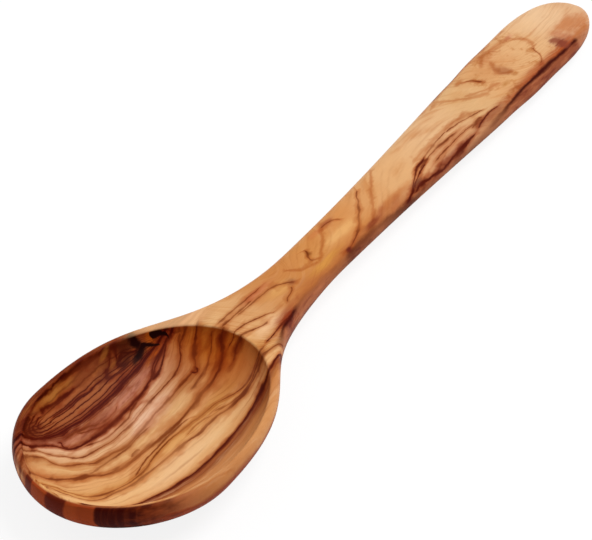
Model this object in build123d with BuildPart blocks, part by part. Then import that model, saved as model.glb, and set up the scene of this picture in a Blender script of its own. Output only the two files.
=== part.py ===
"""Wooden cooking spoon, carved from one piece of olive wood.

The spoon is drawn on its flat top face, as it is marked out on a board: distances run from the tip of the bowl
to the end of the handle, and depths run down from the top face. The top face leans by a small angle,
so that the finished spoon lies on its sanded patch under the bowl and on the end of its handle.
"""

from build123d import *
from math import atan2, cos, degrees, pi, sin
import os

os.makedirs("parts", exist_ok=True)

# outline seen from above
spoon_length = 300
bowl_half_width = 32.5
bowl_widest_at = 35
tip_fullness_share = 0.51
shoulder_reach_from_bowl = 52
shoulder_reach_from_neck = 61
neck_at = 132
neck_half_width = 8.6
grip_reach_from_neck = 56
grip_reach_from_end = 45
grip_half_width = 13.2
end_rounding_length = 28.5
end_fullness_share = 0.57

# depths under the top face, seen from the side
bowl_height = 16.8
bowl_lowest_at = 36
rise_reach_from_bowl = 42
rise_reach_from_neck = 10
neck_thickness = 8.4
back_reach_from_neck = 50
back_reach_from_end = 45
end_thickness = 7.4
end_thinning_length = 14
circle_share = 0.5523

# edges of the outside
lip_roll_width = 1.5
lip_roll_drop = 3
lip_roll_share = 0.6
handle_roll_width = 4.4
handle_under_share = 0.58
bowl_section_ends_at = 78
handle_section_starts_at = 132
widest_part_of_handle_share = 0.5
narrow_roll_share = 0.8

# hollow of the bowl
lip_at_tip = 2.2
lip_at_side = 2.2
hollow_widest_at = 40
hollow_ends_at = 87.2
hollow_depth = 12.6
hollow_fullness_share = 0.6
hollow_overrun = 1.2
hollow_edge_rounding = 0.7

# flats where the spoon lies on the table
sanded_depth = 0.15
rubbed_depth = 0.08

tip_stations = 12
shoulder_stations = 13
grip_stations = 9
end_stations = 10
hollow_stations = 12
nearly_closed_share = 0.2

top_face = Plane.XY
side_face = Plane.XZ
grip_at = spoon_length - end_rounding_length
thinning_at = spoon_length - end_thinning_length
hollow_half_width = bowl_half_width - lip_at_side
end_middle_depth = end_thickness * widest_part_of_handle_share


def quarter(start, corner, finish, start_share, finish_share):
    """A quarter round from start to finish, drawn towards the corner that it rounds off."""
    leave = [point + (turn - point) * start_share for point, turn in zip(start, corner)]
    arrive = [point + (turn - point) * finish_share for point, turn in zip(finish, corner)]
    return Bezier(start, tuple(leave), tuple(arrive), finish)


def read_off(guide, distance):
    """Where a guide line passes the plane that cuts across the spoon at this distance."""
    crossing = guide.wire().intersect(Plane.YZ.offset(distance))[0]
    return Vector(crossing)


def ease(distance):
    """Grows from nothing at the bowl to one at the handle."""
    way = (distance - bowl_section_ends_at) / (handle_section_starts_at - bowl_section_ends_at)
    way = min(max(way, 0), 1)
    return (1 - cos(pi * way)) / 2


with BuildLine(top_face) as outline:
    quarter((0, 0), (0, bowl_half_width), (bowl_widest_at, bowl_half_width), tip_fullness_share, tip_fullness_share)
    Bezier(
        (bowl_widest_at, bowl_half_width),
        (bowl_widest_at + shoulder_reach_from_bowl, bowl_half_width),
        (neck_at - shoulder_reach_from_neck, neck_half_width),
        (neck_at, neck_half_width),
    )
    Bezier(
        (neck_at, neck_half_width),
        (neck_at + grip_reach_from_neck, neck_half_width),
        (grip_at - grip_reach_from_end, grip_half_width),
        (grip_at, grip_half_width),
    )
    quarter(
        (grip_at, grip_half_width),
        (spoon_length, grip_half_width),
        (spoon_length, 0),
        end_fullness_share,
        end_fullness_share,
    )

with BuildLine(side_face) as top_line:
    quarter((0, -lip_roll_drop), (0, 0), (lip_roll_width, 0), lip_roll_share, circle_share)
    Line((lip_roll_width, 0), (thinning_at, 0))
    quarter((thinning_at, 0), (spoon_length, 0), (spoon_length, -end_middle_depth), circle_share, circle_share)

with BuildLine(side_face) as under_line:
    quarter(
        (0, -lip_roll_drop),
        (0, -bowl_height),
        (bowl_lowest_at, -bowl_height),
        circle_share,
        circle_share,
    )
    Bezier(
        (bowl_lowest_at, -bowl_height),
        (bowl_lowest_at + rise_reach_from_bowl, -bowl_height),
        (neck_at - rise_reach_from_neck, -neck_thickness),
        (neck_at, -neck_thickness),
    )
    Bezier(
        (neck_at, -neck_thickness),
        (neck_at + back_reach_from_neck, -neck_thickness),
        (thinning_at - back_reach_from_end, -end_thickness),
        (thinning_at, -end_thickness),
    )
    quarter(
        (thinning_at, -end_thickness),
        (spoon_length, -end_thickness),
        (spoon_length, -end_middle_depth),
        circle_share,
        circle_share,
    )


def spoon_section(distance):
    """The outside of the spoon, cut across at a distance from the tip."""
    half_width = read_off(outline, distance).Y
    top = read_off(top_line, distance).Z
    under = read_off(under_line, distance).Z
    handle = ease(distance)
    middle = -end_middle_depth if distance > thinning_at else under * widest_part_of_handle_share
    widest = -lip_roll_drop * (1 - handle) + middle * handle
    roll = lip_roll_width * (1 - handle) + handle_roll_width * handle
    roll = min(roll, half_width * narrow_roll_share)
    under_share = circle_share * (1 - handle) + handle_under_share * handle
    with BuildSketch(Plane.YZ.offset(distance)) as section:
        with BuildLine():
            quarter((0, under), (half_width, under), (half_width, widest), under_share, under_share)
            quarter((half_width, widest), (half_width, top), (half_width - roll, top), lip_roll_share, lip_roll_share)
            Line((half_width - roll, top), (roll - half_width, top))
            quarter((roll - half_width, top), (-half_width, top), (-half_width, widest), lip_roll_share, lip_roll_share)
            quarter((-half_width, widest), (-half_width, under), (0, under), under_share, under_share)
        make_face()
    return section.sketch


def hollow_section(distance, spread):
    """The hollow of the bowl, cut across at a distance from the tip, and left open a little above the lip."""
    half_width = hollow_half_width * spread
    floor = hollow_overrun - (hollow_depth + hollow_overrun) * spread
    share = hollow_fullness_share
    with BuildSketch(Plane.YZ.offset(distance)) as section:
        with BuildLine():
            quarter((0, floor), (half_width, floor), (half_width, hollow_overrun), share, share)
            Line((half_width, hollow_overrun), (-half_width, hollow_overrun))
            quarter((-half_width, hollow_overrun), (-half_width, floor), (0, floor), share, share)
        make_face()
    return section.sketch


tip_steps = [nearly_closed_share, *range(1, tip_stations + 1)]
# cuts close together where the outline turns, at the tip and at the end
distances = [bowl_widest_at * (1 - cos(pi / 2 * step / tip_stations)) for step in tip_steps]
shoulder = neck_at - bowl_widest_at
distances += [bowl_widest_at + shoulder * step / shoulder_stations for step in range(1, shoulder_stations + 1)]
grip = grip_at - neck_at
distances += [neck_at + grip * step / grip_stations for step in range(1, grip_stations + 1)]
end_steps = [*range(1, end_stations), end_stations - nearly_closed_share]
distances += [grip_at + end_rounding_length * sin(pi / 2 * step / end_stations) for step in end_steps]

with BuildPart() as blank:
    loft(sections=[spoon_section(distance) for distance in distances])

hollow_front = hollow_widest_at - lip_at_tip
hollow_back = hollow_ends_at - hollow_widest_at
last_step = hollow_stations - nearly_closed_share
hollow_steps = [-last_step, *range(1 - hollow_stations, hollow_stations), last_step]
hollow_sections = []
for step in hollow_steps:
    turn = pi / 2 * step / hollow_stations
    reach = hollow_back if turn > 0 else hollow_front
    hollow_sections.append(hollow_section(hollow_widest_at + reach * sin(turn), cos(turn)))

with BuildPart() as hollow:
    loft(sections=hollow_sections)

with BuildPart() as carved:
    add(blank.part)
    add(hollow.part, mode=Mode.SUBTRACT)
    opening = carved.edges().filter_by(lambda edge: edge.bounding_box().max.X < hollow_ends_at + hollow_overrun)
    opening = opening.sort_by(SortBy.LENGTH)[-1]
    fillet(opening, radius=hollow_edge_rounding)

lean = atan2(bowl_height - end_thickness - sanded_depth + rubbed_depth, thinning_at - bowl_lowest_at)
tip_height = bowl_lowest_at * sin(lean) + bowl_height * cos(lean) - sanded_depth
tip_along = ((lip_roll_drop + end_middle_depth) * sin(lean) - spoon_length * cos(lean)) / 2
at_rest = Location((tip_along, 0, tip_height), (0, degrees(lean), 0))

with BuildPart() as spoon:
    add(carved.part.moved(at_rest))
    split(bisect_by=Plane.XY, keep=Keep.TOP)

spoon.part.label = "spoon"
export_step(spoon.part, "parts/spoon.step")
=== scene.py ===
import bmesh
import bpy
from math import cos, radians, sin
from mathutils import Matrix, Vector

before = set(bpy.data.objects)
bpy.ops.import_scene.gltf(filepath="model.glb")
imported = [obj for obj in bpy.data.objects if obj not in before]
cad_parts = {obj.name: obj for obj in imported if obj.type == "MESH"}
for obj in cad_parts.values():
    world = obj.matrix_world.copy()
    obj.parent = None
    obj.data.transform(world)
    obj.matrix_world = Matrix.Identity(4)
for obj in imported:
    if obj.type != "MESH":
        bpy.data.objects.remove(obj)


def write_sizes():
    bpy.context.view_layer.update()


write_sizes()

# where the spoon lies, in millimetres, to mark out the wood from the tip of the bowl
millimetres = 1000.0
tip_to_centre = 149.77
tip_height = 17.98
lean = 0.0373
spoon_length = 300.0

# how lines are drawn: the span across, the taper of strokes, and how far off a line counts as gone
guide_span = 80.0
taper_from_share = 0.72
half_widths_lost_in_taper = 2
out_of_sight = 9.0

# how wide one more count is, before the first growth line and after the last
beyond_the_lines = 6.0

# how far the grain and the ground stray from the drawn lines
wiggle_across = 1.2
slip_along = 2.2
ground_shift = 14.0
near_edge_raggedness = 7.0
tip_patch_raggedness = 14.0

# length, width and depth of the spots in the noises
long_spots = (34, 9, 9)
short_spots = (6, 3.2, 3.2)
round_spots = (11, 8, 8)
cloud_spots = (9, 2.2, 6)
streak_spots = (7, 3, 1.4)
thinning_spots = (7, 3, 3)

# width and height of the upright grain in the wall at the tip
upright_grain_size = (1.3, 14)

# the grain that flows along the growth lines, and how it is counted on over the arches of the handle
flow_length = 22
flow_depth = 30
flows_to_a_line = 2.2
arches_before = 4.0
grain_to_an_arch = 1.15

# where a part of the figure begins and where it is full, along the spoon
handle_begins = (84.0, 100.0)
tip_along = (34.0, 8.0)
tip_patch_along = (34.0, 14.0)
tip_stripes_along = (12.0, 8.0)
hollow_shade_begins = (58.0, 82.0)
hollow_shade_ends = (92.0, 88.0)
beside_knot_along = (66.0, 76.0)
far_lip_along = (66.0, 54.0)
mottles_begin = (226.0, 238.0)
mottles_end = (276.0, 262.0)
side_face_along = (300.0, 278.0)

# the same across the spoon
tip_across = (17.0, 12.0)
tip_patch_begins = (-9.9, -10.7)
tip_patch_ends = (-31.0, -17.0)
hollow_near_side = (-18.0, 0.0)
beside_knot_across = (9.0, 12.0)
far_lip_across = (10.0, 16.0)

# the same across the spoon, from the corner of the handle inwards
near_edge_darkens = (4.6, -0.2)
side_face_begins = (0.8, -1.2)
corner_line_at = -0.2

# the same by height over the top face
top_face_height = (-0.7, -0.2)
below_lip_height = (-0.15, -0.7)
far_lip_height = (-1.8, -0.7)
lower_wall_height = (-2.0, -4.5)
wall_streaks_height = (-2.0, -9.0)
side_face_low_height = (-2.5, -6.5)

# the same in the bowl, by how many of its growth lines have been passed
heart_begins = (6.7, 7.4)
mauve_begins = (7.02, 7.2)
mauve_ends = (8.0, 7.9)
inner_heart_begins = (7.6, 8.05)
rings_fade = (8.4, 8.8)

# a hollow ball halfway through the wood of the bowl: its outer wall lies beyond it
ball_middle = 40.0
ball_reach_to_tip = 38.9
ball_reach_to_handle = 50.0
ball_reach_across = 31.4
ball_reach_down = 14.7
ball_skin = (0.965, 1.01)

# dark stripes down the wall at the tip: place across, half width, strength
tip_stripes = [(1.4, 3.6, 0.85), (11.8, 1.7, 0.75)]
stripe_core_share = 0.7

# growth lines of the bowl that are drawn as brown or dark lines: half their width
brown_lines = {
    "long_vein": 0.5, "loop_vein": 0.4, "middle_vein": 0.75, "crooked_vein": 0.5, "pale_vein": 0.35,
}
dark_lines = {"heart_edge": 0.5, "heart_line": 0.5, "dark_seam": 0.5}

# colours of the coats, in the order in which they are laid
grain_brown = "b46e34"
grain_pale = "e8c394"
mauve_dark = "84442c"
mauve_pale = "c68a68"
fine_line_brown = "9c5624"
ring_dark = "4c0e00"
ring_pale = "a55c30"
wall_tan = "c08050"
# darkens the outer wall of the bowl below and at the tip: partly the wood's own colour, partly painted
# shade
wall_tone_and_shade = "b8683a"
wall_streak_brown = "6e3018"
tip_patch_dark = "340300"
tip_stripe_dark = "4c0f08"
mottle_brown = "ae6c36"
# darkens the near corner of the handle: partly the wood's own colour, partly painted shade
near_edge_tone_and_shade = "c07040"
# the side face of the handle, and its darker foot: partly the wood's own colour, partly painted shade
side_face_tone_and_shade = "a2603f"
side_face_low_tone_and_shade = "7c3c28"
side_face_maroon = "641c0e"
side_streak_dark = "64241a"
side_streak_pale = "b87048"
corner_line_dark = "3e0a02"
brown_line_glaze = "d6a074"
brown_line_colour = "6c2b0a"
dark_line_glaze = "cf8a62"
dark_line_colour = "4a0a00"
soft_line_glaze = "d39e70"
knot_black = "200301"
beside_knot_pale = "d9a878"
far_lip_glaze = "b8806c"
# painted shade on the wall of the hollow towards the handle
hollow_painted_shade = "d0924a"

# the oiled surface
pore_size = (5.0, 0.4)
wood_roughness = 0.44
wood_gloss = 0.03
pore_shade = 0.16
pore_roughness = 0.15
pore_strength = 0.12
pore_depth = 0.0002

# the paper that the spoon lies on, and the room
floor_reach = 3.0
paper_white = 0.98
paper_roughness = 0.9
paper_gloss = 0.1
paper_glow_share = 0.86
room_strength = 0.45

# the camera: angles in degrees, and the aim and distance in metres
camera_turn = -57.94
camera_height = 38.67
camera_roll = 0.84
camera_aim = (-0.02244, 0.00344, 0.008)
camera_distance = 0.9332
sensor_width = 36.0
focal_pixels = 3148
photo_width_pixels = 592

# places of nodes in the editor
node_width = 220
node_height = 160
rows_of_nodes = 12

# growth lines that run through the bowl: distance from the tip, and distance across, far side positive
bowl_guides = {
    "near_seam": [
        (0, -14), (10, -16), (20, -17), (30, -19.4), (40, -21.4), (50, -22.2), (60, -22), (70, -21.4),
        (78, -19.6), (90, -17), (100, -16),
    ],
    "dark_seam": [
        (0, -5.6), (8, -8), (14, -11.2), (18, -13), (25, -15), (32, -16.7), (40, -18.1), (50, -19.1),
        (60, -19.4), (70, -18.8), (77, -18), (84, -17), (100, -14),
    ],
    "long_vein": [
        (0, -2), (5, 6), (8.4, 9), (9.4, 5.4), (10.4, 1.2), (12.2, -1.6), (15, -3.6), (20, -4.2),
        (25, -5.2), (32, -5.9), (40, -6.7), (46, -7.5), (51, -8.3), (54, -9.2), (60, -9.8),
        (66, -11.8), (71, -13), (77, -13.4), (84, -13.3), (90, -14.2), (100, -12.8),
    ],
    "loop_vein": [
        (0, 3), (6, 10), (9.6, 8.4), (12, 2.4), (15, -1), (20, -2.8), (27, -4.4), (34, -4.5),
        (40, -3.5), (46, -3.1), (52, -3.9), (58, -5), (62, -6.1), (65, -6.5), (69, -8.8), (73, -11),
        (77, -11.7), (83, -11.2), (90, -10.9), (100, -10.3),
    ],
    "middle_vein": [
        (0, 7), (5, 12.6), (8.6, 14.4), (11, 12.7), (14, 10.8), (18, 8.8), (22, 6.8), (24.4, 4.3),
        (28, 2.4), (32, 1), (38, 0.4), (45, -0.3), (52, -1.2), (60, -1.6), (68, -1.5), (73, -2),
        (78, -1.4), (82, 0.2), (86, 2.8), (100, 3),
    ],
    "crooked_vein": [
        (0, 12), (5, 16.4), (10, 18.4), (14.6, 20), (17.6, 19.2), (19.4, 17.2), (20.4, 14.4),
        (22.4, 12.6), (26, 10.7), (27.6, 8.7), (30, 7.8), (34, 7.2), (40, 5.7), (48, 5.6), (56, 5.9),
        (64, 5.8), (71, 5.4), (74, 5.1), (77, 7), (80, 8.6), (84.4, 10.4), (88, 11.6), (100, 12),
    ],
    "pale_vein": [
        (0, 15), (6, 18.6), (14, 21.2), (18, 21.2), (20.8, 19.4), (22.4, 17.6), (25, 15.2),
        (26.4, 13.4), (29, 12.2), (34, 11.2), (39, 10), (46, 9.3), (58, 9.5), (66, 9.3), (72, 9.1),
        (76, 10.6), (79, 12.6), (83, 13), (100, 12.8),
    ],
    "heart_edge": [
        (0, 18), (8, 21), (14, 22.6), (19, 22.4), (22.6, 21.2), (25.6, 19.8), (27.4, 17.6), (29, 16.2),
        (33, 15.1), (38, 14.4), (44, 13.8), (52, 13.4), (60, 13.2), (65, 13.6), (69, 14.6), (73, 15.7),
        (77, 16), (84, 15.4), (100, 13.4),
    ],
    "heart_line": [
        (0, 22), (12, 24.2), (20, 24.4), (25, 23), (30, 21.6), (38, 20.8), (45, 19.9), (52, 19.3),
        (62, 18.8), (68, 18.3), (72, 18), (75.6, 17.5), (84, 16.4), (100, 14.2),
    ],
    "heart_top": [
        (0, 26), (14, 26.5), (19, 26.6), (23, 28.4), (30, 30.6), (42, 31.6), (55, 31), (63, 28.4),
        (68, 25.6), (71, 22.6), (76, 19.4), (84, 17.2), (100, 14.8),
    ],
}
# colours of the ground in the bowl, by how many of its growth lines have been passed
bowl_ground = [
    (-2.2, "b0703f"), (-1, "c68a56"), (-0.25, "bb7b49"), (0, "9a5a32"), (0.2, "8a4826"),
    (0.5, "93502c"), (0.75, "78361a"), (0.95, "602408"), (1.03, "a06234"), (1.12, "cc935c"),
    (1.5, "d8a873"), (1.92, "cf9a63"), (2.5, "cd965a"), (3, "c2874c"), (3.6, "d19c66"), (4, "c0834e"),
    (4.5, "d0a06c"), (5, "b87e4c"), (5.5, "cf9e72"), (6, "c08c62"), (6.6, "cc9a76"), (6.97, "a4603e"),
    (7.1, "94502f"), (7.4, "a8664a"), (7.7, "96553a"), (7.9, "803f24"), (8, "7a3418"), (8.3, "96522c"),
    (9, "8a4624"), (9.8, "6a2a12"),
]

# strokes of the figure: half their width, and the places along and across that they run through
dark_strokes = [
    (0.45, [(64, 13.6), (67, 14.3), (69.4, 15.5), (73, 15.9), (77, 16.3)]),
    (0.4, [(64, 13.3), (68, 13.2), (71, 13.8), (74.4, 15.2), (77.6, 15.9)]),
    (0.5, [(72.4, 5.2), (74, 4.2), (75.2, 5)]),
    (0.5, [(29, 28.1), (34, 28.3), (38, 28), (42, 27.7), (49, 27.1)]),
    (0.3, [(27, 28), (31, 29.4), (37, 30), (44, 30.1), (50, 29.3), (56, 28.2), (61, 26.9), (64.6, 25.6)]),
    (0.5, [(62.4, 23), (63.8, 23.6), (65.1, 23.7), (67, 22.5), (70, 21)]),
    (0.3, [(31, 25.4), (36, 25.7), (42, 25.4), (48, 24.8), (54, 24), (58, 23.4)]),
    (0.35, [(170, -9.2), (175.6, -8.4), (178.6, -7.2), (182, -5.8), (184.4, -4.9), (188, -4), (194, -3.2)]),
    (0.35, [(172, -9), (177, -8.7), (181, -8.5), (184.4, -8.9), (190, -9.4), (198, -9.8), (208, -9.9),
        (218, -9.6)]),
    (0.3, [(176, -8.4), (180.4, -7.2), (183, -6.6), (186, -5.9), (190, -5.1)]),
    (0.3, [(214, -9.6), (218, -8.8), (222, -8.4), (226, -8.4), (231, -9)]),
    (0.4, [(86, -10.7), (91, -10.8), (96, -10.4), (101, -10.3), (106, -9.6)]),
]
# strokes that turn back or run upright: their places are given across first
turned_strokes = [
    (1.0, [(22.5, 32), (23.3, 26), (24.2, 21.8), (25.2, 20.4), (26.2, 21.6), (27.2, 24.6), (28.2, 28)]),
    (0.9, [(22.9, 34), (23.7, 27.4), (24.6, 23.4), (25.4, 22.4), (26.6, 24.2), (27.8, 28), (28.6, 31.4)]),
    (0.9, [(23.5, 35), (24.2, 29), (25, 25.2), (25.7, 24.4), (26.6, 26.6), (27.5, 30.4), (28, 34)]),
    (0.7, [(24.3, 38), (24.8, 31), (25.4, 27), (26, 26.8), (26.7, 29.2), (27.2, 33)]),
    (1.3, [(19.6, 67.6), (21, 63.3), (22.1, 58.8), (23.3, 56.8), (24, 57.9), (24.6, 60.5), (25.2, 62.3),
        (26.3, 61.4), (27.6, 57)]),
    (1.1, [(20.8, 66.6), (22.1, 63.2), (23.6, 62.5), (24.4, 64.2), (25.4, 64.2), (27.1, 60.7),
        (27.8, 57.7), (28.8, 52)]),
    (0.5, [(16.8, 28.6), (18, 28), (19.2, 28.8), (20, 28)]),
    (0.5, [(23.2, 58.6), (24.1, 57.8), (25, 58.6)]),
]
# along the grain again
knot_strokes = [
    (0.8, [(66.6, 20), (69, 20.2), (71, 20.4), (72.4, 19.2), (74, 17.9), (75.8, 17)]),
    (0.8, [(73.6, 19.9), (75.4, 19.2), (76.6, 18.2), (77.6, 16.8), (78.6, 15.6)]),
]
brown_strokes = [
    (0.35, [(29, 15), (33, 14.2), (35.6, 13.2), (37.4, 12.3), (42, 11.6), (49, 11.3), (54, 12.4),
        (60, 12.8)]),
    (0.4, [(22, 6.7), (27, 6.4), (33, 5.8), (40, 4.9), (46, 4.9), (53, 4.2)]),
    (0.5, [(36.6, 1.6), (39, 2.2), (41.4, 1.6)]),
    (0.35, [(27, -4.6), (32, -3.6), (38, -2.3), (44, -2), (52, -2.2), (58, -3), (61, -5.4), (63, -6.2)]),
    (0.3, [(52, -6.6), (57, -6.8), (61, -7.8), (63, -8.8)]),
    (0.35, [(62, -8), (66, -9.8), (70, -12), (74, -12.8), (80, -12.4), (85, -11.4)]),
    (0.45, [(67, 2.2), (74, 2.3), (79, 3), (83, 4.6), (86, 6.2)]),
    (0.4, [(79, -3.6), (82, -3.9), (85, -3), (88, -3.4), (92, -4.8), (94, -6), (98, -5.9)]),
    (0.3, [(82, -0.8), (86, -0.8), (91, -1.1), (94, -2), (97, -3.2), (99.6, -4.2), (101, -5.2),
        (104, -5.5)]),
    (0.35, [(92, 2.7), (100, 2.2), (106, 1.8), (110, 1.4), (112, 0.8), (114.6, -0.6)]),
    (0.4, [(106.6, -6.2), (109, -5), (112, -4.4), (114.8, -3)]),
    (0.3, [(84, -13.3), (88, -13.8), (91, -14.8)]),
    (0.35, [(139, -7.2), (146, -6.2), (150, -4.7), (155, -2), (160, 1.1), (163, 3.6), (166, 5.9),
        (168.4, 8.4)]),
    (0.4, [(180, -6.6), (184.4, -4.8), (188, -3.8), (193, -3), (199, -2.5), (204, -2.2), (211, -2)]),
    (0.35, [(180, -7.4), (185, -5.9), (188.4, -4.9), (193, -4.3), (199, -4), (205, -4.4), (212, -5)]),
    (0.3, [(205, -2.2), (210, -2.6), (214, -3.2), (218, -4), (222.6, -5.1), (227, -6.6)]),
    (0.25, [(190, -7.4), (197, -6.8), (205, -6.6), (213, -6.9), (219, -7.6)]),
    (0.35, [(213, -8), (216.2, -7.6), (219, -7.2), (222, -7.6)]),
    (0.35, [(218, 10.6), (226, 11), (236, 11.4), (248, 11.7), (262, 11.6)]),
    (0.3, [(86, 5.5), (93, 5.2), (104, 4.6), (112, 4.2)]),
    (0.3, [(86, 3.5), (94, 3.3), (104, 2.9)]),
    (0.4, [(29, 19.8), (35, 19.2), (39, 18), (41.8, 16.4), (45, 15.6), (49, 15.6), (54, 17.2)]),
    (0.3, [(34, 18.6), (38, 17), (42, 15.2), (46, 14.8)]),
    (0.5, [(76.6, 18.8), (78, 17.8), (79.4, 15.8), (81.4, 13.6)]),
    (0.45, [(142.4, 4.6), (146, 4.4), (149, 3.4), (151.4, 1.2)]),
    (0.45, [(109, 1.6), (111.7, 1), (113.5, -0.1), (115.6, -1.6), (117.4, -3)]),
    (0.3, [(257.6, -9), (260.4, -8.3), (261.6, -7), (263, -5.2), (266, -2.4)]),
    (0.6, [(77.4, 11.6), (78.8, 12.8), (80.8, 13.9)]),
]
# upright again, with the place across first
upright_strokes = [
    (0.35, [(-2.6, 130.2), (-1.8, 128.6), (0, 128.8), (1.6, 130.4), (3, 130.4), (3.4, 128.6)]),
    (0.45, [(1.4, 238.6), (3.5, 237.5), (5.4, 236.7), (7.2, 234.6)]),
]
upright_soft_strokes = [
    (1.0, [(-4.4, 249.4), (-1.7, 246.8), (-0.2, 245.8), (1.3, 246.7), (3.5, 248.2), (6.4, 251)]),
    (0.9, [(-3, 265.4), (0, 267.6), (2, 267.8), (4.4, 266.9), (5.8, 265.2), (8.4, 261)]),
    (0.7, [(0, 239.4), (3.5, 237.5), (5.4, 236.7), (8, 233.6)]),
]
# along the grain again
soft_strokes = [
    (0.6, [(118, 2.4), (120.4, 1.2), (122.4, -1.2), (125, -2.2), (130, -3.8)]),
    (0.6, [(127, -4), (134.3, -1.2), (139, 1.4), (144, 4)]),
    (0.6, [(227, 2.4), (234.1, -0.9), (237.5, -2), (243, -3)]),
    (0.7, [(244.6, 6.4), (249.4, 8.5), (252, 9.3), (254.5, 8.8), (258.4, 6)]),
    (0.9, [(215, 8), (219.6, 8.8), (222.6, 6), (225, 3.6), (228, 1), (230.6, -1.2), (236, -3)]),
    (0.7, [(184, -2.6), (190, -1.5), (200, -1.1), (208, -1), (215, -2), (221, -3.6), (226, -5.8)]),
    (0.9, [(252, 8.6), (262, 7.8), (266, 6.4), (268.4, 4)]),
    (0.6, [(152, -7), (158, -5.2), (162, -2.6), (166, 0.6), (170, 3), (175, 5.6), (180, 8.6)]),
]
# lines that show which way the figure flows in the handle, where it arches over the middle of the grip
handle_guides = [
    [
        (90, -16), (150, -14), (166, -11.5), (173, -8.7), (180, -4.9), (188, -3), (206, -0.9),
        (215, -1.4), (221, -3.6), (228, -6), (240, -12), (300, -18),
    ],
    [
        (90, -11), (120, -8.7), (136, -8.3), (145, -7.6), (155, -5.3), (162, -2), (167, 2.4), (176, 9),
        (190, 13), (206, 12), (216, 8.6), (223, 3.6), (228, -0.9), (234, -4.2), (241, -8.1),
        (262, -12), (300, -14),
    ],
    [
        (90, -7), (105, -8), (117, -7.4), (128, -2.6), (139, 2), (143, 6), (150, 12), (180, 20),
        (226, 18), (235, 8), (238, 5), (243, 0.2), (246, -4.2), (256, -8), (300, -10),
    ],
    [
        (90, 2), (102, 4), (112, 1), (116, -1), (123, 4), (130, 9), (150, 22), (240, 24), (247, 12),
        (249, 4), (252, -1), (258, -5), (275, -7), (300, -4),
    ],
]
# the corner of the handle on its near side, and how dark it is painted along it, as a share: partly the
# wood's own colour, partly painted shade
near_edge = [
    (88, -13.6), (98, -11.1), (107, -9.2), (118, -8), (130, -7.9), (150, -7.9), (165, -8.8),
    (178, -9.8), (190, -10.4), (210, -11), (228, -11), (240, -10.6), (262, -11), (276, -11.2),
    (288, -10.6), (296, -6.6), (300, -2),
]
edge_darkness = [
    (84, 0.9), (102, 0.9), (110, 0.55), (135, 0.5), (140, 0.7), (144, 0.65), (172, 0.7), (181, 0.8),
    (192, 0.6), (220, 0.6), (232, 0.75), (244, 0.9), (262, 1.0), (275, 1.0), (279, 0.5), (290, 0.35),
    (300, 0.15),
]
# colours of the ground along the handle
handle_ground = [
    (84, "d0a276"), (96, "cb9866"), (106, "be804a"), (118, "ba7840"), (130, "c08044"), (150, "c5854c"),
    (163, "ca915c"), (178, "d09e6c"), (205, "d2a67a"), (228, "cca070"), (240, "cc9866"),
    (262, "d0a070"), (284, "d7b088"), (300, "c89c74"),
]

# stains in the wood, and a painted sheen on the floor of the bowl: place along, across, reach along, reach
# across, colour, strength
stains_and_sheen = [
    # a mauve cloud on the floor of the bowl: partly the wood's own tone, partly painted sheen
    (58, 15.8, 10, 1.9, "b87860", 0.7),
    # painted highlight: the pale soft sheen on the floor of the bowl
    (54, 7.5, 11, 3.6, "e0b69c", 0.55),
    (37, 29.1, 12, 1.2, "a86a2c", 0.8),
    (61, 25, 3.4, 1.2, "8a4a22", 0.7),
    (28, 22.6, 7, 1.8, "5e200c", 0.5),
    (71.4, 17, 3.6, 0.8, "bc6c20", 0.95),
    (74.2, 19.4, 1.9, 1.6, "bc6c20", 0.95),
    (42, -11.5, 17, 4, "e2b98c", 0.5),
    (70, -7, 8, 2.6, "c8904e", 0.6),
    (84.8, 2.4, 2.6, 1.5, "8a4418", 0.85),
    (80, -0.4, 4, 1.1, "94501f", 0.7),
    (84.6, -3.2, 2.8, 1.7, "8e4818", 0.8),
    (79.6, -4.4, 3, 0.9, "9c5624", 0.7),
    (83, 5.6, 3, 1, "a05c22", 0.7),
    (81, -12.2, 4, 0.9, "8a4420", 0.7),
    (12, 15, 3.6, 3, "bb7440", 0.6),
    (95, -7.4, 7, 2.2, "e2b88e", 0.6),
    (101, -8.8, 6, 1.4, "a45c3e", 0.6),
    (115.8, -1.8, 1.9, 1.6, "8a4c30", 0.85),
    (103, 4, 4.6, 1.1, "b0603c", 0.6),
    (106, 3.6, 7, 1.6, "b86a44", 0.6),
    (111, -1, 6, 2, "cf9a5a", 0.6),
    (130, -5.4, 9, 1.2, "c78c40", 0.75),
    (124, 3, 8, 3, "c08048", 0.5),
    (130.4, 1, 0.9, 1.2, "80501f", 0.7),
    (145, -1.6, 10, 2, "dcaa6c", 0.6),
    (146.4, 4.6, 3.6, 1.2, "a05a38", 0.75),
    (140, 4.6, 4, 1.2, "bc6c3c", 0.5),
    (155, -6.9, 5, 0.9, "8a3c20", 0.8),
    (168, -6, 11, 1.5, "b46c38", 0.75),
    (202, -6.6, 15, 2.9, "bd8258", 0.9),
    (196, -9.5, 17, 1.1, "96583e", 0.75),
    (218, -8, 4, 1.2, "965a3a", 0.6),
    (224, -9.2, 8, 1.4, "9c5c3c", 0.7),
    (227, 4, 5, 4, "c08a56", 0.5),
    (240, 4, 9, 5, "bb8250", 0.35),
    (284, -5.8, 10, 4.4, "b8764a", 0.95),
    (276.6, -6.6, 3, 3.6, "b06a48", 0.6),
    (251.6, 7.4, 4, 2, "b47044", 0.7),
    (233.6, 7.8, 2, 0.9, "9c5a30", 0.75),
    (248.2, -1, 2, 2, "a0623c", 0.7),
    (241.4, -5, 1.8, 0.7, "b07840", 0.8),
    (248.4, -4.8, 1.4, 0.9, "b07440", 0.8),
    (250, 3, 9, 5, "c08250", 0.4),
    (248, -0.4, 2.4, 3.4, "a86c44", 0.7),
    (242, -5, 2.6, 1.2, "bc8450", 0.5),
    (234, 8.2, 3, 1, "b06e3c", 0.6),
    (266, 7.4, 2.6, 1, "c08060", 0.7),
    (253, -9.2, 9, 1.6, "b4683c", 0.7),
    (284, -10.4, 8, 1.4, "b4682e", 0.7),
]
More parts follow.
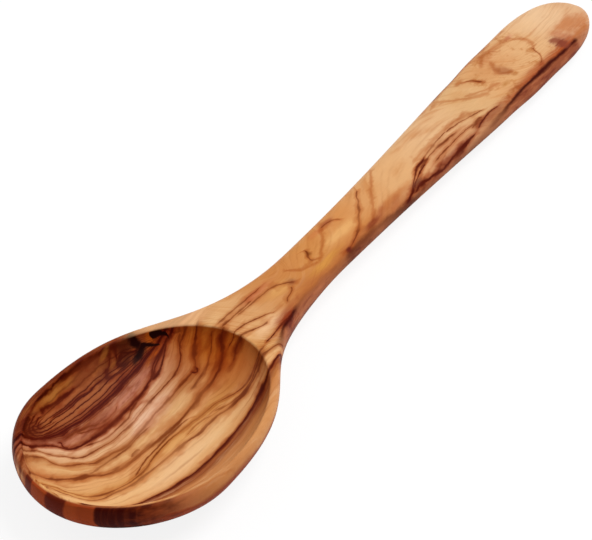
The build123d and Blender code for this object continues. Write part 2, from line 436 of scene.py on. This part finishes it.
# knots and the darkest spots, in the same order
knots = [
    (66, 23, 4.8, 2.6, "3c0e04", 0.8),
    (58.6, 24.6, 6, 2.6, "541a08", 0.6),
    (60.4, 26.4, 2.2, 0.5, "a8662a", 0.45),
    (61, 23.9, 1.9, 0.5, "a8602a", 0.4),
    (52, 27.2, 7, 2, "6e2c14", 0.5),
    (24, 25.4, 5, 2, "5a200e", 0.55),
    (70, 22.4, 1.7, 1.9, "200301", 1.0),
    (68.4, 20, 3.4, 1.1, "240402", 0.95),
    (179.6, -7.8, 3, 0.9, "5c2418", 0.75),
    (139.8, -7.4, 1.4, 0.6, "5c1c14", 0.9),
    (272.4, -6.4, 2.7, 2.6, "86442f", 0.9),
    (272.6, -9.4, 3, 2.4, "7c3826", 0.95),
]


def colour(code):
    """A colour written as a paint chart has it, made ready for the light."""
    parts = [int(code[i:i + 2], 16) / 255 for i in (0, 2, 4)]
    return tuple(p / 12.92 if p <= 0.04045 else ((p + 0.055) / 1.055) ** 2.4 for p in parts) + (1.0,)


class Wood:
    """Links up the sums and noises that make the figure of the wood, and paints its look coat by coat."""

    def __init__(self, name):
        self.material = bpy.data.materials.new(name)
        self.material.use_nodes = True
        self.tree = self.material.node_tree
        self.surface = self.tree.nodes["Principled BSDF"]
        self.nodes_made = 0
        self.look = None

    def node(self, kind, **settings):
        made = self.tree.nodes.new(kind)
        column, row = divmod(self.nodes_made, rows_of_nodes)
        made.location = (-node_width * (1 + column), node_height * row)
        self.nodes_made += 1
        for key, value in settings.items():
            setattr(made, key, value)
        return made

    def feed(self, socket, value):
        if isinstance(value, bpy.types.NodeSocket):
            self.tree.links.new(value, socket)
        else:
            socket.default_value = value

    def feed_all(self, node, **values):
        for key, value in values.items():
            self.feed(node.inputs[key.replace("_", " ")], value)

    def sum(self, operation, *values):
        made = self.node("ShaderNodeMath", operation=operation)
        for socket, value in zip(made.inputs, values):
            self.feed(socket, value)
        return made.outputs[0]

    def chain(self, operation, values):
        total = values[0]
        for value in values[1:]:
            total = self.sum(operation, total, value)
        return total

    def add(self, *values):
        return self.chain("ADD", values)

    def times(self, *values):
        return self.chain("MULTIPLY", values)

    def share(self, value, whole):
        return self.times(value, 1 / whole)

    def squared(self, value):
        return self.times(value, value)

    def rest_of(self, share):
        return self.sum("SUBTRACT", 1.0, share)

    def off(self, line, here):
        return self.sum("ABSOLUTE", self.sum("SUBTRACT", here, line))

    def rise(self, value, start, full, low=0.0, high=1.0):
        """Grows smoothly from low at the start to high where it is full."""
        made = self.node("ShaderNodeMapRange", interpolation_type="SMOOTHSTEP")
        self.feed_all(made, Value=value, From_Min=start, From_Max=full, To_Min=low, To_Max=high)
        return made.outputs["Result"]

    def place(self, x, y, z):
        made = self.node("ShaderNodeCombineXYZ")
        for socket, value in zip(made.inputs, (x, y, z)):
            self.feed(socket, value)
        return made.outputs[0]

    def stretched(self, along, across, up):
        """A place for a noise whose spots are this long, this wide and this deep, in millimetres."""
        sides = zip((self.along, self.across, self.up), (along, across, up))
        return self.place(*[self.share(value, size) for value, size in sides])

    def noise(self, place, scale=1.0, detail=2.0, roughness=0.5):
        """An uneven value that is nothing on average."""
        made = self.node("ShaderNodeTexNoise", noise_dimensions="3D")
        self.feed_all(made, Vector=place, Scale=scale, Detail=detail, Roughness=roughness)
        return self.sum("SUBTRACT", made.outputs["Fac"], 0.5)

    def layers(self, count, layers_to_a_line, seed):
        """How far the nearest edge of a growth layer is. The layers are unevenly thick."""
        made = self.node("ShaderNodeTexVoronoi", voronoi_dimensions="1D", feature="DISTANCE_TO_EDGE")
        self.feed_all(made, W=self.sum("MULTIPLY_ADD", count, layers_to_a_line, seed), Scale=1.0)
        return made.outputs["Distance"]

    def blob(self, centre, reach):
        """One at a centre in the wood, and nothing beyond its reach."""
        parts = []
        for value, middle, far in zip((self.along, self.across), centre, reach):
            parts.append(self.squared(self.share(self.add(value, -middle), far)))
        return self.sum("EXPONENT", self.times(self.add(*parts), -1.0))

    def guide(self, points, upright=False):
        """How far across a drawn line runs at each distance along, or how far along at each one across."""
        made = self.node("ShaderNodeFloatCurve")
        curve = made.mapping.curves[0]
        if upright:
            places = [(0.5 + across / guide_span, along / spoon_length) for across, along in points]
        else:
            places = [(along / spoon_length, 0.5 + across / guide_span) for along, across in points]
        if places[0][0] > 0:
            places.insert(0, (0.0, places[0][1]))
        if places[-1][0] < 1:
            places.append((1.0, places[-1][1]))
        while len(curve.points) < len(places):
            curve.points.new(0.5, 0.5)
        for point, place in zip(curve.points, places):
            point.location = place
        made.mapping.update()
        if upright:
            self.feed_all(made, Value=self.sum("MULTIPLY_ADD", self.bent_across, 1 / guide_span, 0.5))
            return self.times(made.outputs[0], spoon_length)
        self.feed_all(made, Value=self.share(self.bent_along, spoon_length))
        return self.sum("MULTIPLY_ADD", made.outputs[0], guide_span, -guide_span / 2)

    def guided_share(self, points):
        """A share from nothing to one that is given along the spoon."""
        line = self.guide([(along, share * guide_span / 2) for along, share in points])
        return self.share(line, guide_span / 2)

    def past(self, line, here):
        return self.add(here, self.times(line, -1.0))

    def between(self, lines, across):
        """Counts the lines up to this place: one more at each line, and a share of one in between."""
        before = self.sum("MINIMUM", self.share(self.past(lines[0], across), beyond_the_lines), 0.0)
        counted = [before]
        for lower, upper in zip(lines, lines[1:]):
            made = self.node("ShaderNodeMapRange", interpolation_type="LINEAR", clamp=True)
            self.feed_all(made, Value=across, From_Min=lower, From_Max=upper, To_Min=0.0, To_Max=1.0)
            counted.append(made.outputs["Result"])
        after = self.sum("MAXIMUM", self.share(self.past(lines[-1], across), beyond_the_lines), 0.0)
        return self.add(*counted, after)

    def nearest(self, strokes, upright=False, so_far=None):
        """How many half widths away the nearest stroke is. A stroke tapers towards its two ends."""
        going, here = self.bent_along, self.bent_across
        if upright:
            going, here = here, going
        for half_width, points in strokes:
            middle = (points[0][0] + points[-1][0]) / 2
            half_length = points[-1][0] - middle
            into_taper = self.sum("SUBTRACT", self.off(middle, going), taper_from_share * half_length)
            taper_slope = half_widths_lost_in_taper / ((1 - taper_from_share) * half_length)
            taper = self.times(self.sum("MAXIMUM", into_taper, 0.0), taper_slope)
            line = self.guide(points, upright)
            away = self.sum("MULTIPLY_ADD", self.off(line, here), 1 / half_width, taper)
            so_far = away if so_far is None else self.sum("MINIMUM", so_far, away)
        return so_far

    def nearest_line(self, half_widths, so_far):
        """The same for growth lines of the bowl, which are drawn as far as the handle."""
        past_bowl = self.times(self.in_handle, out_of_sight)
        for name, half_width in half_widths.items():
            away = self.share(self.off(self.lines[name], self.bent_across), half_width)
            so_far = self.sum("MINIMUM", so_far, self.add(away, past_bowl))
        return so_far

    def ramp(self, value, stops):
        made = self.node("ShaderNodeValToRGB")
        low, high = stops[0][0], stops[-1][0]
        parts = made.color_ramp.elements
        while len(parts) < len(stops):
            parts.new(0.5)
        for part, (at, code) in zip(parts, stops):
            part.position = (at - low) / (high - low)
            part.color = colour(code)
        made.color_ramp.interpolation = "EASE"
        self.feed(made.inputs[0], self.sum("MULTIPLY_ADD", value, 1 / (high - low), -low / (high - low)))
        return made.outputs[0]

    def coat(self, blend, over, amounts):
        made = self.node("ShaderNodeMix", data_type="RGBA", blend_type=blend)
        self.feed(made.inputs["Factor"], self.times(*amounts))
        self.feed(made.inputs[6], self.look)
        self.feed(made.inputs[7], over)
        self.look = made.outputs[2]

    def paint(self, code, *amounts):
        """Covers the look so far with a colour."""
        self.coat("MIX", colour(code), amounts)

    def glaze(self, code, *amounts):
        """Darkens the look so far, as a thin clear coat of a colour does."""
        self.coat("MULTIPLY", colour(code), amounts)


def mark_out(wood):
    """Finds how far a place lies along, across and up from the top face, and how the grain bends that."""
    split = wood.node("ShaderNodeSeparateXYZ")
    wood.feed(split.inputs[0], wood.node("ShaderNodeTexCoord").outputs["Object"])
    wood.along = wood.sum("MULTIPLY_ADD", split.outputs[0], millimetres, tip_to_centre)
    wood.across = wood.times(split.outputs[1], millimetres)
    wood.up = wood.add(wood.times(split.outputs[2], millimetres), wood.times(wood.along, lean), -tip_height)

    wood.long_place = wood.stretched(*long_spots)
    wood.short_place = wood.stretched(*short_spots)
    wood.round_place = wood.stretched(*round_spots)
    drift = wood.noise(wood.long_place, detail=1.0)
    wiggle = wood.times(wood.noise(wood.short_place, detail=3.0, roughness=0.6), wiggle_across)
    wood.bent_across = wood.add(wood.across, drift, wiggle)
    slip = wood.times(wood.noise(wood.short_place, scale=0.7, detail=1.0), slip_along)
    wood.bent_along = wood.add(wood.along, slip)
    wood.unevenness = wood.noise(wood.long_place, scale=2.1)

    wood.in_handle = wood.rise(wood.along, *handle_begins)
    wood.in_bowl = wood.rest_of(wood.in_handle)
    wood.lines = {name: wood.guide(points) for name, points in bowl_guides.items()}
    wood.count = wood.between(list(wood.lines.values()), wood.bent_across)


def lay_ground(wood):
    """The ground between the growth lines, and the grain that flows along them."""
    wood.look = wood.ramp(wood.count, bowl_ground)
    shifted = wood.add(wood.along, wood.times(wood.noise(wood.round_place), ground_shift))
    wood.coat("MIX", wood.ramp(shifted, handle_ground), [wood.in_handle])

    arches = wood.between([wood.guide(points) for points in handle_guides], wood.bent_across)
    handle_grain = wood.times(wood.add(arches, arches_before), grain_to_an_arch, wood.in_handle)
    wood.grain = wood.add(wood.times(wood.count, wood.in_bowl), handle_grain)
    along_grain = wood.share(wood.along, flow_length)
    across_grain = wood.times(wood.grain, flows_to_a_line)
    flow_place = wood.place(along_grain, across_grain, wood.share(wood.up, flow_depth))
    wood.flow = wood.noise(flow_place, detail=3.0, roughness=0.6)
    wood.paint(grain_brown, wood.rise(wood.flow, 0.0, 0.22, high=0.5))
    in_heart = wood.times(wood.rise(wood.count, *heart_begins), wood.in_bowl)
    less_in_handle = wood.rise(wood.in_handle, 0.0, 1.0, low=1.0, high=0.4)
    pale_flow = wood.rise(wood.flow, 0.0, -0.26, high=0.34)
    wood.paint(grain_pale, pale_flow, wood.rest_of(in_heart), less_in_handle)


def lay_blobs(wood, blobs, ragged_where, raggedness, fade):
    """Stains, knots and a painted sheen on the floor of the bowl, with ragged edges."""
    fine = wood.noise(wood.short_place, scale=1.3, detail=3.0, roughness=0.6)
    uneven = wood.times(wood.add(fine, wood.times(wood.flow, 0.6)), raggedness)
    for along, across, reach_along, reach_across, code, amount in blobs:
        spot = wood.blob((along, across), (reach_along, reach_across))
        spot = wood.add(spot, wood.times(uneven, wood.rise(spot, *ragged_where)))
        wood.paint(code, wood.rise(spot, *fade, high=amount))


def draw_heart(wood):
    """The dark heart on the far side of the bowl: mauve clouds, fine lines and crowded rings."""
    mauve = wood.times(wood.rise(wood.count, *mauve_begins), wood.rise(wood.count, *mauve_ends))
    mauve = wood.times(mauve, wood.in_bowl)
    wood.paint(mauve_dark, wood.rise(wood.clouds, 0.0, 0.16), mauve, 0.75)
    wood.paint(mauve_pale, wood.rise(wood.clouds, 0.0, -0.2), mauve, 0.5)

    fine_line = wood.rise(wood.layers(wood.grain, layers_to_a_line=3.6, seed=7.7), 0.22, 0.0)
    here_and_there = wood.rise(wood.noise(wood.long_place, scale=1.4, detail=1.0), -0.12, 0.16, high=0.4)
    less_in_handle = wood.rise(wood.in_handle, 0.0, 1.0, low=1.0, high=0.5)
    wood.paint(fine_line_brown, fine_line, here_and_there, less_in_handle)

    inner_heart = wood.times(wood.rise(wood.count, *inner_heart_begins), wood.in_bowl)
    less_towards_lip = wood.rise(wood.count, *rings_fade, low=1.0, high=0.35)
    rings = wood.layers(wood.count, layers_to_a_line=9.5, seed=2.2)
    wood.paint(ring_dark, wood.rise(rings, 0.24, 0.02), inner_heart, less_towards_lip)
    wood.paint(ring_pale, wood.rise(rings, 0.32, 0.5), inner_heart, 0.35)


def draw_outer_wall(wood):
    """The outer wall of the bowl, darker below and at the tip, where dark stripes run down it. The
    darkening is partly the wood's own colour and partly painted shade.
    """
    to_tip, to_handle = 1 / ball_reach_to_tip, 1 / ball_reach_to_handle
    stretch = wood.rise(wood.along, ball_middle - 1, ball_middle + 1, low=to_tip, high=to_handle)
    outward = wood.add(
        wood.squared(wood.times(wood.add(wood.along, -ball_middle), stretch)),
        wood.squared(wood.share(wood.across, ball_reach_across)),
        wood.squared(wood.share(wood.up, ball_reach_down)),
    )
    wood.outside = wood.times(wood.rise(outward, *ball_skin), wood.in_bowl)
    wood.at_tip = wood.times(wood.rise(wood.along, *tip_along), wood.rise(wood.across, *tip_across))
    uneven_up = wood.add(wood.up, wood.times(wood.noise(wood.short_place, scale=0.6), 3.0))
    lower_wall = wood.rise(uneven_up, *lower_wall_height)
    wood.paint(wall_tan, wood.outside, wood.rise(wood.at_tip, 0.1, 0.6), 0.85)
    # painted shade over the wood's own darker colour, below where the wall turns down towards the paper,
    # and at the tip
    wood.glaze(wall_tone_and_shade, wood.outside, wood.sum("MAXIMUM", wood.at_tip, lower_wall), 0.95)
    streaked = wood.times(wood.rise(wood.streaks, 0.0, 0.2), wood.rise(wood.up, *wall_streaks_height))
    wood.paint(wall_streak_brown, wood.outside, streaked, 0.6)

    patch_start = wood.rise(wood.bent_across, *tip_patch_begins)
    ragged_across = wood.add(wood.bent_across, wood.times(wood.streaks, tip_patch_raggedness))
    patch_end = wood.rise(ragged_across, *tip_patch_ends)
    patch = wood.times(patch_start, patch_end, wood.rise(wood.along, *tip_patch_along))
    width, height = upright_grain_size
    upright_grain = wood.noise(wood.place(0.0, wood.share(wood.across, width), wood.share(wood.up, height)))
    streaky = wood.rise(upright_grain, 0.16, -0.05, low=0.84, high=0.98)
    wood.paint(tip_patch_dark, wood.outside, patch, streaky)
    near_tip = wood.rise(wood.along, *tip_stripes_along)
    for across, half_width, strength in tip_stripes:
        core = stripe_core_share * half_width
        stripe = wood.rise(wood.off(across, wood.bent_across), half_width, core)
        wood.paint(tip_stripe_dark, wood.outside, stripe, near_tip, strength)


def draw_mottled_part(wood):
    """The brown clouds over the last part of the grip."""
    over_grip = wood.times(wood.rise(wood.along, *mottles_begin), wood.rise(wood.along, *mottles_end))
    brown_clouds = wood.noise(wood.round_place, scale=2.2, detail=3.0, roughness=0.6)
    wood.paint(mottle_brown, wood.rise(brown_clouds, 0.0, 0.2), over_grip, 0.75)


def draw_near_side(wood):
    """The near edge of the handle, which darkens towards its corner, and the side face below it, darker
    towards its foot. Both are partly the wood's own colour and partly painted shade.
    """
    patchy = wood.rise(wood.noise(wood.long_place, scale=1.3), -0.25, 0.15, low=0.75)
    dusk = wood.times(wood.guided_share(edge_darkness), patchy)
    past_edge = wood.past(wood.guide(near_edge), wood.bent_across)
    ragged = wood.add(past_edge, wood.times(wood.flow, near_edge_raggedness))
    # partly painted shade: the top darkens as it rolls over into the near side
    wood.glaze(near_edge_tone_and_shade, wood.rise(ragged, *near_edge_darkens), wood.in_handle, dusk)

    less_at_end = wood.rise(wood.along, *side_face_along, low=0.3)
    side_face = wood.times(wood.rise(past_edge, *side_face_begins), wood.in_handle, less_at_end)
    # the side face and its lower part, which faces down, are painted darker: partly the wood's own colour,
    # partly painted shade
    wood.paint(side_face_tone_and_shade, side_face, 0.85)
    wood.paint(side_face_low_tone_and_shade, side_face, wood.rise(wood.up, *side_face_low_height), 0.7)
    darker_side = wood.rise(wood.add(dusk, wood.times(wood.flow, 0.3)), 0.5, 0.85)
    wood.paint(side_face_maroon, side_face, darker_side, 0.45)
    dark_streaks = wood.times(wood.rise(wood.streaks, 0.02, 0.18), wood.rise(dusk, 0.2, 0.7))
    wood.paint(side_streak_dark, side_face, dark_streaks, 0.65)
    wood.paint(side_streak_pale, side_face, wood.rise(wood.streaks, -0.02, -0.2), 0.5)
    uneven_width = wood.rise(wood.unevenness, -0.2, 0.2, low=1.6, high=0.8)
    corner_line = wood.rise(wood.times(wood.off(corner_line_at, past_edge), uneven_width), 1.2, 0.1)
    wood.paint(corner_line_dark, corner_line, wood.in_handle, wood.rise(dusk, 0.3, 0.9))


def draw_veins(wood):
    """The brown, dark and soft lines of the figure, each with a glow of its colour around it."""
    wood.thinner = wood.rise(wood.noise(wood.stretched(*thinning_spots)), -0.25, 0.25, low=2.8, high=0.55)
    on_tip_wall = wood.times(wood.outside, wood.rise(wood.at_tip, 0.1, 0.5), out_of_sight)
    brown = wood.nearest_line(brown_lines, wood.nearest(brown_strokes))
    brown = wood.nearest(upright_strokes, upright=True, so_far=brown)
    brown = wood.add(wood.times(brown, wood.thinner), on_tip_wall)
    wood.glaze(brown_line_glaze, wood.rise(brown, 8.0, 0.5, high=0.6))
    fainter = wood.rise(wood.unevenness, -0.2, 0.15, low=0.45)
    wood.paint(brown_line_colour, wood.rise(brown, 1.9, 0.3, high=0.9), fainter)

    dark = wood.nearest_line(dark_lines, wood.nearest(dark_strokes))
    dark = wood.nearest(turned_strokes, upright=True, so_far=dark)
    dark = wood.add(wood.times(dark, wood.thinner), on_tip_wall)
    wood.glaze(dark_line_glaze, wood.rise(dark, 6.0, 0.6, high=0.7))
    little_fainter = wood.rise(wood.unevenness, -0.3, 0.1, low=0.6)
    wood.paint(dark_line_colour, wood.rise(dark, 1.9, 0.3, high=0.95), little_fainter)

    soft = wood.nearest(upright_soft_strokes, upright=True, so_far=wood.nearest(soft_strokes))
    waver = wood.noise(wood.short_place, scale=1.5)
    soft = wood.times(soft, wood.rise(waver, -0.25, 0.25, low=2.0, high=0.5))
    wood.glaze(soft_line_glaze, wood.rise(soft, 2.8, 0.0, high=0.6))


def draw_far_side(wood):
    """The black strokes of the knot, the pale wood beside it, and the dark lip over the heart."""
    wood.paint(knot_black, wood.rise(wood.times(wood.nearest(knot_strokes), wood.thinner), 1.8, 0.5))
    on_top = wood.rise(wood.up, *top_face_height)
    beside_knot = wood.times(
        wood.rise(wood.along, *beside_knot_along),
        wood.rise(wood.across, *beside_knot_across),
    )
    wood.paint(beside_knot_pale, on_top, beside_knot, wood.in_bowl, 0.7)
    far_lip = wood.times(
        wood.rise(wood.up, *far_lip_height),
        wood.rise(wood.along, *far_lip_along),
        wood.rise(wood.across, *far_lip_across),
    )
    wood.glaze(far_lip_glaze, far_lip, wood.rise(wood.clouds, -0.2, 0.1, low=0.5, high=0.9))


def shade_hollow(wood):
    """The wall of the hollow towards the handle is a deeper brown: painted shade, where the wall turns away
    from the lamp.
    """
    below_lip = wood.times(wood.rise(wood.up, *below_lip_height), wood.rest_of(wood.outside))
    towards_handle = wood.times(
        wood.rise(wood.along, *hollow_shade_begins),
        wood.rise(wood.along, *hollow_shade_ends),
    )
    less_on_near_side = wood.rise(wood.across, *hollow_near_side, low=0.55)
    # painted shade on the wall of the hollow that turns away from the lamp
    wood.glaze(hollow_painted_shade, below_lip, towards_handle, less_on_near_side)


def finish_surface(wood):
    """Fine pores along the grain break up the colour, the gloss and the touch of the oiled wood."""
    length, width = pore_size
    across_grain = wood.share(wood.bent_across, width)
    pores = wood.noise(wood.place(wood.share(wood.along, length), across_grain, wood.share(wood.up, width)))
    shade = wood.node("ShaderNodeHueSaturation")
    wood.feed_all(shade, Value=wood.sum("MULTIPLY_ADD", pores, pore_shade, 1.0), Color=wood.look)
    bump = wood.node("ShaderNodeBump")
    wood.feed_all(bump, Strength=pore_strength, Distance=pore_depth, Height=pores)
    roughness = wood.sum("MULTIPLY_ADD", pores, pore_roughness, wood_roughness)
    wood.feed_all(wood.surface, Base_Color=shade.outputs[0], Roughness=roughness, Normal=bump.outputs[0])
    wood.feed_all(wood.surface, Specular_IOR_Level=wood_gloss)


def olive_wood():
    wood = Wood("olive_wood")
    mark_out(wood)
    lay_ground(wood)
    lay_blobs(wood, stains_and_sheen, (0.02, 0.5), 0.91, (0.02, 0.95))
    wood.clouds = wood.noise(wood.stretched(*cloud_spots), detail=3.0, roughness=0.65)
    draw_heart(wood)
    wood.streaks = wood.noise(wood.stretched(*streak_spots))
    draw_outer_wall(wood)
    draw_mottled_part(wood)
    draw_near_side(wood)
    draw_veins(wood)
    lay_blobs(wood, knots, (0.02, 0.4), 1.3, (0.12, 0.85))
    draw_far_side(wood)
    shade_hollow(wood)
    finish_surface(wood)
    return wood.material


def finish_spoon():
    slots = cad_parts["spoon"].data.materials
    slots.clear()
    slots.append(olive_wood())


def make_floor():
    bm = bmesh.new()
    bmesh.ops.create_grid(bm, x_segments=1, y_segments=1, size=floor_reach)
    mesh = bpy.data.meshes.new("floor")
    bm.to_mesh(mesh)
    bm.free()
    floor = bpy.data.objects.new("floor", mesh)
    bpy.context.scene.collection.objects.link(floor)
    mesh.materials.append(white_paper())


def white_paper():
    """Paper that takes the spoon's shadow, and is nearly as bright as the backdrop to the camera alone."""
    paper = bpy.data.materials.new("white_paper")
    paper.use_nodes = True
    tree = paper.node_tree
    shader = tree.nodes["Principled BSDF"]
    shader.inputs["Base Color"].default_value = (paper_white, paper_white, paper_white, 1.0)
    shader.inputs["Roughness"].default_value = paper_roughness
    shader.inputs["Specular IOR Level"].default_value = paper_gloss
    glow = tree.nodes.new("ShaderNodeEmission")
    glow.inputs["Strength"].default_value = 1.0
    seen = tree.nodes.new("ShaderNodeLightPath")
    share = tree.nodes.new("ShaderNodeMath")
    share.operation = "MULTIPLY"
    share.inputs[1].default_value = paper_glow_share
    both = tree.nodes.new("ShaderNodeMixShader")
    tree.links.new(seen.outputs["Is Camera Ray"], share.inputs[0])
    tree.links.new(share.outputs[0], both.inputs[0])
    tree.links.new(shader.outputs[0], both.inputs[1])
    tree.links.new(glow.outputs[0], both.inputs[2])
    tree.links.new(both.outputs[0], tree.nodes["Material Output"].inputs["Surface"])
    return paper


def make_lamp(name, place, aim, size, watts):
    light = bpy.data.lights.new(name, "AREA")
    light.shape = "DISK"
    light.size = size
    light.energy = watts
    lamp = bpy.data.objects.new(name, light)
    lamp.location = place
    lamp.rotation_euler = (Vector(aim) - Vector(place)).to_track_quat("-Z", "Y").to_euler()
    bpy.context.scene.collection.objects.link(lamp)


def light_room():
    make_lamp("window", place=(0.9, -0.8, 2.2), aim=(-0.03, 0.0, 0.0), size=1.6, watts=52.0)
    make_lamp("back_card", place=(0.1, 1.1, 0.7), aim=(0.0, 0.0, 0.0), size=0.8, watts=3.6)
    world = bpy.data.worlds.new("room")
    bpy.context.scene.world = world
    world.use_nodes = True
    backdrop = world.node_tree.nodes["Background"]
    backdrop.inputs["Color"].default_value = (1.0, 1.0, 1.0, 1.0)
    backdrop.inputs["Strength"].default_value = room_strength


def make_camera():
    """Looks at the spoon from where the photograph was taken."""
    turn, height, roll = radians(camera_turn), radians(camera_height), radians(camera_roll)
    back = Vector((sin(turn) * cos(height), -cos(turn) * cos(height), sin(height)))
    right = Vector((cos(turn), sin(turn), 0.0))
    upward = back.cross(right)
    leaned_right = right * cos(roll) - upward * sin(roll)
    leaned_up = back.cross(leaned_right)
    lens = bpy.data.cameras.new("camera")
    lens.sensor_width = sensor_width
    lens.lens = sensor_width * focal_pixels / photo_width_pixels
    camera = bpy.data.objects.new("camera", lens)
    turned = Matrix((leaned_right, leaned_up, back)).transposed().to_4x4()
    camera.matrix_world = Matrix.Translation(Vector(camera_aim) + back * camera_distance) @ turned
    bpy.context.scene.collection.objects.link(camera)
    bpy.context.scene.camera = camera


finish_spoon()
make_floor()
light_room()
make_camera()
bpy.context.scene.view_settings.view_transform = "Standard"
write_sizes()
